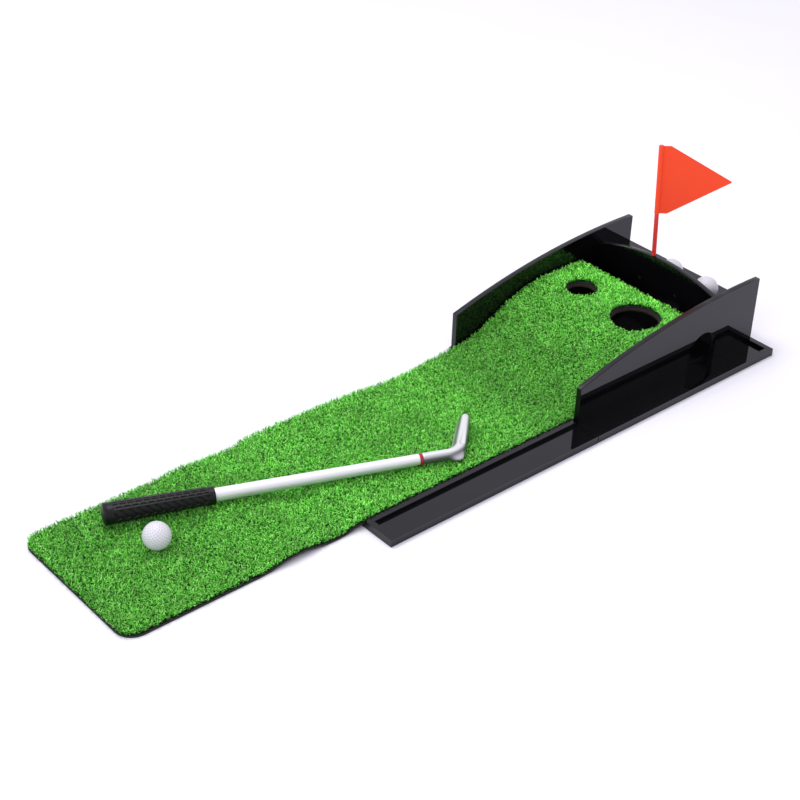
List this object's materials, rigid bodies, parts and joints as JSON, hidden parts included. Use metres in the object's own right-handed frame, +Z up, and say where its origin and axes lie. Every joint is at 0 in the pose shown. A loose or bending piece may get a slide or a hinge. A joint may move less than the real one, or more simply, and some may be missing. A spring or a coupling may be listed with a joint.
{
  "type": "practice putting mat",
  "caption": "Practice putting mat: turf lane over a floor tray, ramp to a raised green with cup holes, ball return and gutter, ball shelf, flag, balls and putter.",
  "frame": {"origin": "on the floor, at the middle of the whole object's footprint", "axes": "+Z up, +Y along the lane towards the flag, +X towards the gutter side"},
  "size_m": [0.359, 1.2922, 0.3338],
  "materials": {
    "gloss_black": "mirror gloss",
    "board": "dark sawn fibreboard",
    "dowel_wood": "plain",
    "screw_steel": "blackened",
    "backing_rubber": "matte",
    "turf": "tufted blades",
    "flag_pole_red": "gloss",
    "pennant_orange": "smooth sheet",
    "ball_white": "dimpled",
    "grip_rubber": "ribbed",
    "shaft_silver": "satin",
    "ring_red": "gloss",
    "head_silver": "satin cast"
  },
  "bodies": {
    "putting_green": {"front_tray_floor": "gloss_black", "rear_tray_floor": "gloss_black", "gutter_front_rim": "gloss_black", "gutter_inner_rail": "gloss_black", "gutter_outer_rim_front": "gloss_black", "gutter_outer_rim_rear": "gloss_black", "gutter_back_rim": "gloss_black", "tray_dowels": "dowel_wood", "left_side_panel": "gloss_black", "right_side_panel": "gloss_black", "arched_back_board": "gloss_black", "ball_shelf": "gloss_black", "rear_board": "gloss_black", "panel_screws": "screw_steel", "arch_screws": "screw_steel", "shelf_screws": "screw_steel", "ramp_board": "board", "green_board": "board", "ramp_rib_left": "board", "ramp_rib_centre": "board", "ramp_rib_right": "board", "ramp_cross_rib": "board", "green_ledge_left": "board", "green_ledge_right": "board", "return_board": "gloss_black", "return_runner_front": "board", "return_runner_back": "board", "turf_backing": "backing_rubber", "turf_pile": "turf"},
    "flag": {"flag_pole": "flag_pole_red"},
    "pennant": {"pennant": "pennant_orange"},
    "mat_ball": {"golf_ball_on_mat": "ball_white"},
    "shelf_ball_middle": {"golf_ball_shelf_middle": "ball_white"},
    "shelf_ball_right": {"golf_ball_shelf_right": "ball_white"},
    "putter": {"putter_grip": "grip_rubber", "grip_cap": "grip_rubber", "putter_shaft": "shaft_silver", "shaft_ring": "ring_red", "putter_head": "head_silver"}
  },
  "joints": [
    {"name": "flag_lift", "type": "slide", "parent": "putting_green", "child": "flag", "axis": [-0.061, 0, 0.9981], "range_m": [0, 0.06]},
    {"name": "pennant_swivel", "type": "hinge", "parent": "flag", "child": "pennant", "pos_m": [-0.0455, 0.56191, 0.12699], "axis": [-0.061, 0, 0.9981], "continuous": true},
    {"name": "mat_ball_roll", "type": "slide", "parent": "putting_green", "child": "mat_ball", "axis": [0, 1, 0], "range_m": [-0.11, 0.06]},
    {"name": "shelf_ball_middle_lift", "type": "slide", "parent": "putting_green", "child": "shelf_ball_middle", "axis": [0, 0, 1], "range_m": [0, 0.08]},
    {"name": "shelf_ball_right_lift", "type": "slide", "parent": "putting_green", "child": "shelf_ball_right", "axis": [0, 0, 1], "range_m": [0, 0.08]},
    {"name": "putter_lift", "type": "slide", "parent": "putting_green", "child": "putter", "axis": [0, 0, 1], "range_m": [0, 0.15]}
  ]
}
